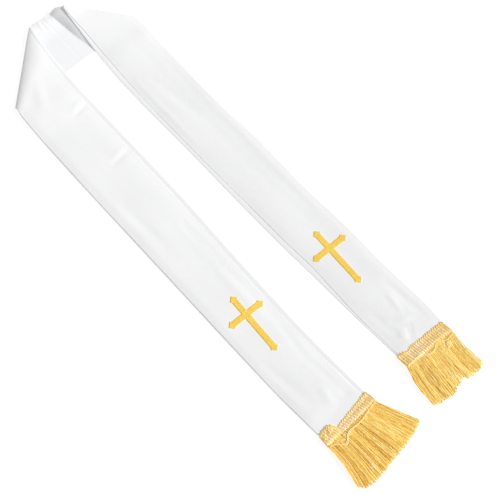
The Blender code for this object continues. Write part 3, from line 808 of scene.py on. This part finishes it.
LEFT_TOP = (
    Top(0.0, -0.3585, 0.0009, 0.25),
    Top(0.08, -0.3565, 0.0013, 0.5),
    Top(0.23, -0.355, 0.0012, 0.45),
    Top(0.31, -0.3672, 0.0001, 0.8),
    Top(0.37, -0.3665, 0.0, 1.0),
    Top(0.7, -0.3612, 0.0, 0.75),
    Top(1.0, -0.356, 0.0, 0.35),
)
RIGHT_TOP = (
    Top(0.0, -0.3475, 0.0004, 0.2),
    Top(0.14, -0.3498, 0.0003, 0.4),
    Top(0.21, -0.3528, 0.0, 1.0),
    Top(0.31, -0.3505, 0.0, 1.0),
    Top(0.46, -0.352, 0.0, 0.92),
    Top(0.68, -0.3538, 0.0003, 0.5),
    Top(1.0, -0.3566, 0.0006, 0.25),
)
LEFT_COUCHING = (
    Bend(0.02, 0.98),
    Bend(0.1, 1.1),
    Bend(0.16, 1.34),
    Bend(0.23, 1.55),
    Bend(0.3, 1.6),
    Bend(0.36, 1.32),
    Bend(0.44, 1.22),
    Bend(0.55, 1.24),
    Bend(0.66, 1.2),
    Bend(0.75, 1.08),
    Bend(0.86, 0.96),
    Bend(0.99, 0.92),
)
RIGHT_COUCHING = (
    Bend(0.02, 0.86),
    Bend(0.12, 0.84),
    Bend(0.24, 0.84),
    Bend(0.32, 0.87),
    Bend(0.39, 1.04),
    Bend(0.47, 1.14),
    Bend(0.55, 1.08),
    Bend(0.62, 0.9),
    Bend(0.72, 0.92),
    Bend(0.8, 1.08),
    Bend(0.9, 1.06),
    Bend(0.99, 0.98),
)
LEFT_TIPS = (
    Tip(0.0, -0.1635, -0.472, 0.0035),
    Tip(0.09, -0.149, -0.484, 0.0028),
    Tip(0.3, -0.113, -0.485, 0.0015),
    Tip(0.52, -0.073, -0.48, 0.0),
    Tip(0.72, -0.038, -0.476, 0.0),
    Tip(0.9, -0.008, -0.469, 0.0),
    Tip(1.0, 0.008, -0.4625, -0.001),
)
RIGHT_TIPS = (
    Tip(0.0, 0.047, -0.4595, -0.0047),
    Tip(0.12, 0.061, -0.465, -0.0036),
    Tip(0.38, 0.096, -0.47, -0.001),
    Tip(0.46, 0.106, -0.462, 0.0),
    Tip(0.52, 0.112, -0.4665, 0.0),
    Tip(0.62, 0.127, -0.459, -0.001),
    Tip(0.69, 0.134, -0.4675, -0.002),
    Tip(0.92, 0.1655, -0.469, -0.0035),
    Tip(1.0, 0.1755, -0.464, -0.0042),
)
FRINGES = (
    Fringe("left_fringe", top_x=(-0.1525, -0.028), low_left=(-0.153, -0.385),
           low_right=(-0.027, -0.3835), top=LEFT_TOP, couching=LEFT_COUCHING, tips=LEFT_TIPS,
           partings=(Parting(0.61, 0.5, 1.02, 0.0006),),
           knots=(Knot(-0.1455, -0.3665, 0.005, 3.0, 0.4),
                  Knot(-0.129, -0.3635, 0.0046, 3.0, 2.1)),
           pairs=24, deep=0.46, bright=0.36, tone=0.56, lean=0.06, stir=1.0, seed=3),
    Fringe("right_fringe", top_x=(0.0605, 0.1755), low_left=(0.062, -0.378),
           low_right=(0.1765, -0.386), top=RIGHT_TOP, couching=RIGHT_COUCHING, tips=RIGHT_TIPS,
           partings=(Parting(0.27, 0.1, 0.65, 0.001), Parting(0.57, 0.6, 1.3, 0.0016)),
           knots=(Knot(0.152, -0.3965, 0.0062, 4.0, 1.2),),
           pairs=22, deep=0.22, bright=0.3, tone=0.7, lean=0.02, stir=1.7, seed=8),
)


def heading_place(fringe, across, down, up):
    """Place on the heading: across its length, down its width, up from its face."""
    top_y = from_rows(fringe.top, "y", across)
    top_x = between(*fringe.top_x, across)
    low_x, low_y = (between(*ends, across) for ends in zip(fringe.low_left, fringe.low_right))
    hem = (top_y - HEM_Y + HEADING_OVERHANG) / (top_y - low_y)
    base = between(DOUBLE, HEADING_FLOOR, smoothstep((down - hem) / (1 - hem)))
    thickness = between(HEADING_THIN, HEADING_THICK, smoothstep((down - 0.15) / 0.75))
    lift = from_rows(fringe.top, "lift", across) * (1 - smoothstep((down - 0.7) / 0.3))
    lift = lift * rounding((down + 0.12) * (top_y - low_y), 0.004)
    over = COUCHING_RISE * smoothstep((down - 0.95) / 0.2)
    x, y = between(top_x, low_x, down), between(top_y, low_y, down)
    return np.stack((x, y, base + thickness + lift + over + up), axis=-1)


def tube_piece(name, paths, radius, sides, tones, material, node):
    """Round tubes along paths of shape (tubes, points, 3), with tones (tubes, 1 or points)."""
    count, steps, _ = paths.shape
    ahead = np.gradient(paths, axis=1)
    side = np.cross(ahead, (0.0, 0.0, 1.0))
    side /= np.linalg.norm(side, axis=2, keepdims=True) + 1e-12
    above = np.cross(side, ahead)
    above /= np.linalg.norm(above, axis=2, keepdims=True) + 1e-12
    angle = np.linspace(0, 2 * np.pi, sides, endpoint=False)
    ring = side[:, :, None] * np.cos(angle)[:, None] + above[:, :, None] * np.sin(angle)[:, None]
    points = paths[:, :, None] + ring * np.broadcast_to(radius, (count, steps))[:, :, None, None]
    index = np.arange(count * steps * sides).reshape(count, steps, sides)
    after = np.roll(index, -1, axis=2)
    quads = np.stack((index[:, :-1], after[:, :-1], after[:, 1:], index[:, 1:]), axis=3).reshape(-1, 4)
    caps = [row[::-1] for row in index[:, 0].tolist()] + index[:, -1].tolist()
    run = np.cumsum(np.linalg.norm(np.diff(paths, axis=1, prepend=paths[:, :1]), axis=2), axis=1)
    parts = np.broadcast_arrays(tones[:, :, None], run[:, :, None], np.zeros(sides))
    ply = np.broadcast_arrays(np.cos(angle), np.sin(angle), np.zeros((count, steps, 1)))
    vectors = {"thread": np.stack(parts, axis=3), "ply": np.stack(ply, axis=3)}
    mesh = make_mesh(name, points, quads.tolist() + caps, vectors)
    return add_piece(name, mesh, material, node)


def cord_material(name, deep, middle, bright, pitch, painted_glow):
    """Twisted rayon: a shade of its own for each cord, streaks along it and its ply. The colour is
    also emitted as a faint glow, painted light that lifts the cords out of the shade they cast on one
    another.
    """
    material, shader, start = new_material(name, Roughness=0.48, Sheen_Weight=0.06,
                                           Specular_IOR_Level=0.35, Emission_Strength=painted_glow)
    own, run, _ = start.attribute("thread").parts()
    flat, upright, _ = start.attribute("ply").parts()
    place = start.node("ShaderNodeTexCoord", {}, {}, "Object")
    stretched = {"Vector": place, "Scale": (420.0, 45.0, 200.0)}
    streak = start.node("ShaderNodeMapping", {}, stretched).noise(1.0)
    turn = run * (2 * np.pi / pitch) + own * 60.0
    twist = turn.sine() * flat + (turn + np.pi / 2).sine() * upright
    grain = place.noise(520.0, 1.0)
    mottle = streak.ramp(0.35, 0.65) * 0.2 + grain.ramp(0.35, 0.65) * 0.24
    tone = own * 0.56 + mottle + twist * 0.16
    colour = tone.ramp(0.45, 0.95).mix(tone.ramp(0.05, 0.45).mix(deep, middle), bright)
    colour.feed(shader, "Base Color")
    # painted light: the cord's colour is also emitted, a faint glow in place of light the strands
    # block from each other
    colour.feed(shader, "Emission Color")
    (twist + place.noise(900.0, 1.0)).bump(0.4, 0.0002).feed(shader, "Normal")
    return material


CORD = cord_material("fringe_cord", deep=(0.6, 0.275, 0.028, 1), middle=(0.92, 0.618, 0.128, 1),
                     bright=(1.0, 0.825, 0.35, 1), pitch=0.003, painted_glow=0.12)
RUNG = cord_material("heading_rung", deep=(0.86, 0.48, 0.09, 1), middle=(0.96, 0.68, 0.19, 1),
                     bright=(1.0, 0.86, 0.46, 1), pitch=0.0019, painted_glow=0.13)
PALE = cord_material("couching_thread", deep=(0.86, 0.53, 0.11, 1),
                     middle=(0.96, 0.72, 0.26, 1), bright=(0.99, 0.9, 0.6, 1),
                     pitch=0.0016, painted_glow=0.12)
GROUND = cord_material("heading_ground", deep=(0.6, 0.28, 0.04, 1),
                       middle=(0.92, 0.67, 0.33, 1), bright=(0.98, 0.89, 0.83, 1),
                       pitch=0.0016, painted_glow=0.08)


def bell(at, middle, width):
    return np.exp(-((at - middle) / width) ** 2)


for fringe, half in zip(FRINGES, (LEFT, RIGHT)):
    chance = np.random.default_rng(fringe.seed)
    pairs, side = fringe.pairs, fringe.name
    heading_width = fringe.top_x[1] - fringe.top_x[0]

    # the ground of the heading, a closed strip bent over the hem and the strands' roots
    across, down = np.meshgrid(np.linspace(0, 1, HEADING_COLUMNS), np.linspace(0, 1, HEADING_ROWS))
    top = heading_place(fringe, across, down, -0.0002)
    low = top.copy()
    low[:, :, 2] = np.minimum(DOUBLE + 0.00005, top[:, :, 2] - GROUND_LEAST)
    past_hem = smoothstep((HEM_Y - 0.0005 - top[:, :, 1]) / 0.006)
    low[:, :, 2] = between(low[:, :, 2], HEADING_FLOOR, past_hem)
    pale = np.stack((from_rows(fringe.top, "pale", across), top[:, :, 1], 0 * down), axis=2)
    mesh = make_mesh(f"{side}_ground", [top, low], shell_faces(HEADING_ROWS, HEADING_COLUMNS, True),
                     {"thread": [pale, pale], "ply": np.zeros((2, *top.shape))})
    parts = [add_piece(f"{side}_ground", mesh, GROUND, side)]

    # rungs: cords in pairs from the looped edge to the couching
    pair = (np.arange(pairs) + 0.5 + chance.uniform(-0.12, 0.12, pairs)) / pairs
    beside = RUNG_BESIDE * RUNG_RADIUS / heading_width
    share = (pair[:, None] + np.array((-beside, beside))).ravel()
    reach = from_rows(fringe.couching, "down", share)[:, None]
    down = 0.02 + (reach - 0.04) * np.linspace(0, 1, 14)
    lean = (fringe.lean + chance.uniform(-0.004, 0.004, pairs).repeat(2))[:, None] * (down - 0.02)
    wander = 0.0016 * np.sin(down * 5.0 + chance.uniform(0, 6, pairs).repeat(2)[:, None])
    place_across = np.clip(share[:, None] + lean + wander, 0.002, 0.998)
    paths = heading_place(fringe, place_across, down, 0.0001)
    shade = chance.uniform(0.75, 1.0, pairs).repeat(2)
    shade = shade * (1 - 0.7 * from_rows(fringe.top, "pale", share))
    parts.append(tube_piece(f"{side}_rungs", paths, RUNG_RADIUS, 6, shade[:, None], RUNG, side))

    # looped edge along the top of the heading, one loop for each pair of rungs
    phase = np.linspace(0, pairs * 2 * np.pi, pairs * 16)
    swing = 1 + 0.3 * np.sin(phase * 0.37 + fringe.seed) * np.sin(phase * 0.11)
    place_across = np.linspace(0.006, 0.994, len(phase)) + 0.32 / pairs * np.sin(2 * phase) * swing
    place_down = LOOP_LINE - LOOP_HEIGHT / HEADING_DEPTH * np.sin(phase) * swing
    paths = heading_place(fringe, np.clip(place_across, 0, 1), place_down, 0.0002 * np.cos(phase))
    shade = np.array([[0.6]])
    parts.append(tube_piece(f"{side}_loops", paths[None], LOOP_RADIUS, 6, shade, RUNG, side))

    # fine weft threads that hold the rungs
    along = np.linspace(0.01, 0.99, 260)
    shade = np.array([[0.9]])
    for k, weft_down in enumerate(WEFT_DOWN):
        place_down = weft_down + 0.012 * np.sin(along * 31.0 + k)
        over = 0.0003 + 0.00035 * np.sin(along * pairs * np.pi + k * np.pi)
        paths = heading_place(fringe, along, place_down, over)[None]
        parts.append(tube_piece(f"{side}_weft_{k}", paths, WEFT_RADIUS, 5, shade, PALE, side))

    # a double couching thread, laid by hand
    along = np.linspace(0.02, 0.99, 240)
    path_down = from_rows(fringe.couching, "down", along) + 0.012 * np.sin(along * 90.0)
    shade = (0.3 + 0.65 * bell(along, fringe.bright, 0.22))[None]
    apart = 0.022 + 0.045 * bell(along, fringe.bright, 0.13)
    for k, aside in enumerate((-apart, apart)):
        over = 0.0007 + 0.0002 * np.sin(along * 140.0 + k * np.pi)
        paths = heading_place(fringe, along, path_down + aside, over)[None]
        name = f"{side}_couching_{k}"
        parts.append(tube_piece(name, paths, COUCHING_RADIUS, 6, shade, PALE, side))

    # knots of loose heading cord
    shade = np.array([[0.55]])
    for k, knot in enumerate(fringe.knots):
        turn = np.linspace(0, knot.turns * 2 * np.pi, int(knot.turns * 26))
        x = knot.x + knot.size * np.sin(turn + knot.phase) * (0.75 + 0.25 * np.sin(0.41 * turn))
        y = knot.y + knot.size * np.sin(1.37 * turn) * (0.7 + 0.25 * np.cos(0.53 * turn))
        across = (x - fringe.top_x[0]) / heading_width
        top_y = from_rows(fringe.top, "y", across)
        down = (top_y - y) / (top_y - fringe.low_left[1])
        height = heading_place(fringe, across, down, 0.0006 + 0.0004 * np.sin(2.3 * turn))[:, 2]
        paths = np.stack((x, y, height), axis=1)[None]
        parts.append(tube_piece(f"{side}_knot_{k}", paths, KNOT_RADIUS, 6, shade, PALE, side))

    # strands in layers, a few at a time lying together as a lock
    chance = np.random.default_rng(fringe.seed + 20)
    u = np.linspace(0, 1, STRAND_POINTS)
    radius = STRAND_RADIUS * np.interp(u, (0, 0.95, 1), (1.0, 1.0, 0.7))[None]
    for layer in range(STRAND_LAYERS):
        share = (np.arange(STRANDS) + 0.5 + chance.uniform(-0.45, 0.45, STRANDS)) / STRANDS
        lock = share * LOCKS + chance.uniform(-0.4, 0.4, STRANDS)
        lock = np.clip(lock, 0, LOCKS - 1).astype(int)
        stray = chance.normal(0, LOCK_STRAY, LOCKS)[lock]
        stray = stray + chance.normal(0, STRAND_STRAY, STRANDS)
        ends = np.clip(share + fringe.stir * stray, 0.0, 1.0)
        roots = np.full(STRANDS, STRAND_ROOT)
        root = heading_place(fringe, np.clip(share, 0.004, 0.996), roots, 0)
        tip_x, tip_y = from_rows(fringe.tips, "x", ends), from_rows(fringe.tips, "y", ends)
        tip_y = tip_y + chance.uniform(-0.0012, 0.003, STRANDS)
        tip_y = tip_y + chance.uniform(-0.0012, 0.0012, LOCKS)[lock]
        lock_phase, own_phase = chance.uniform(0, 6, LOCKS)[lock], chance.uniform(0, 6, STRANDS)
        waist = from_rows(fringe.tips, "waist", ends)[:, None] * np.sin(np.pi * u)
        sway = (0.001 * np.sin(np.pi * u) * np.sin(share * 23 + layer * 2.1)[:, None]
                + 0.0006 * np.sin(2.4 * np.pi * u + lock_phase[:, None]) * u
                + 0.0003 * np.sin(7.0 * np.pi * u + own_phase[:, None]))
        x = between(root[:, :1], tip_x[:, None], u ** 1.1) + fringe.stir * sway + waist
        y = between(root[:, 1:2], tip_y[:, None], u)
        for parting in fringe.partings:
            off = (share - parting.share)[:, None]
            opened = smoothstep((u - parting.start) / 0.3)
            closed = smoothstep((u - parting.end + 0.15) / 0.15)
            push = parting.half_width * np.sign(off) * np.exp(-abs(off) / PARTING_REACH)
            x = x + push * (opened * (1 - closed))
        arch = 0.0004 * layer * (1 + 0.4 * np.sin(share * 17 + layer))[:, None] * np.sin(np.pi * u)
        z = STRAND_RADIUS + 0.0002 + STRAND_SPACING * (1 - 0.25 * u) * layer + arch
        z = z + 0.0003 * chance.uniform(0, 1, STRANDS)[:, None]
        paths = np.stack((x, y, z), axis=2)
        tones = fringe.tone - DEEP_SHADE * bell(share, fringe.deep, DEEP_WIDTH)
        tones = tones + LOCK_SHADE * chance.normal(0, 1, LOCKS)[lock]
        tones = np.clip(tones + STRAND_SHADE * chance.normal(0, 1, STRANDS), 0, 1)
        name = f"{side}_strands_{layer}"
        parts.append(tube_piece(name, paths, radius, 5, tones[:, None], CORD, side))


# ---- Floor, light and camera -------------------------------------------------
# A plain white table in an even white room. A broad, low key light shines from +X and
# -Y, so that faces turned from it fall into a light grey, and a soft fill hangs over
# the neck band.
FLOOR_HALF = 40.0
FLOOR_Z = -0.0002  # the stole lies on it without touching

floor_mesh = bpy.data.meshes.new("floor")
floor_corners = [(x * FLOOR_HALF, y * FLOOR_HALF, FLOOR_Z)
                 for x, y in ((-1, -1), (1, -1), (1, 1), (-1, 1))]
floor_mesh.from_pydata(floor_corners, [], [(0, 1, 2, 3)])
floor_mesh.materials.append(new_material(
    "floor", Roughness=0.9, Base_Color=(0.22, 0.22, 0.22, 1), Emission_Color=(1.0, 1.0, 1.0, 1),
    Emission_Strength=0.84, Specular_IOR_Level=0.0)[0])
add_object("floor", floor_mesh)

world = bpy.data.worlds.new("studio")
bpy.context.scene.world = world
world.use_nodes = True
room = world.node_tree.nodes["Background"]
room.inputs["Color"].default_value = (1.0, 1.0, 1.0, 1)
room.inputs["Strength"].default_value = 0.466

key = bpy.data.lights.new("key", "SUN")
key.energy = 3.9
key.angle = np.radians(12)
add_object("key", key).rotation_euler = (0, np.radians(66), np.radians(-45))


def aim(made, place, target):
    """Put a light or camera at a place and turn it to its target."""
    made.location = place
    made.rotation_mode = "QUATERNION"
    made.rotation_quaternion = (Vector(target) - made.location).to_track_quat("-Z", "Y")


fill = bpy.data.lights.new("fill", "AREA")
fill.shape = "SQUARE"
fill.size = 1.4
fill.energy = 2.8
aim(add_object("fill", fill), (0.1, 0.85, 1.6), (0.05, 0.6, 0))

camera_data = bpy.data.cameras.new("camera")
camera_data.lens = 72
camera_data.sensor_width = 36
camera = add_object("camera", camera_data)
aim(camera, Vector((-0.4523, -0.5006, 1.8534)) + Vector(SHIFT), SHIFT)
bpy.context.scene.camera = camera
bpy.context.scene.view_settings.view_transform = "Standard"
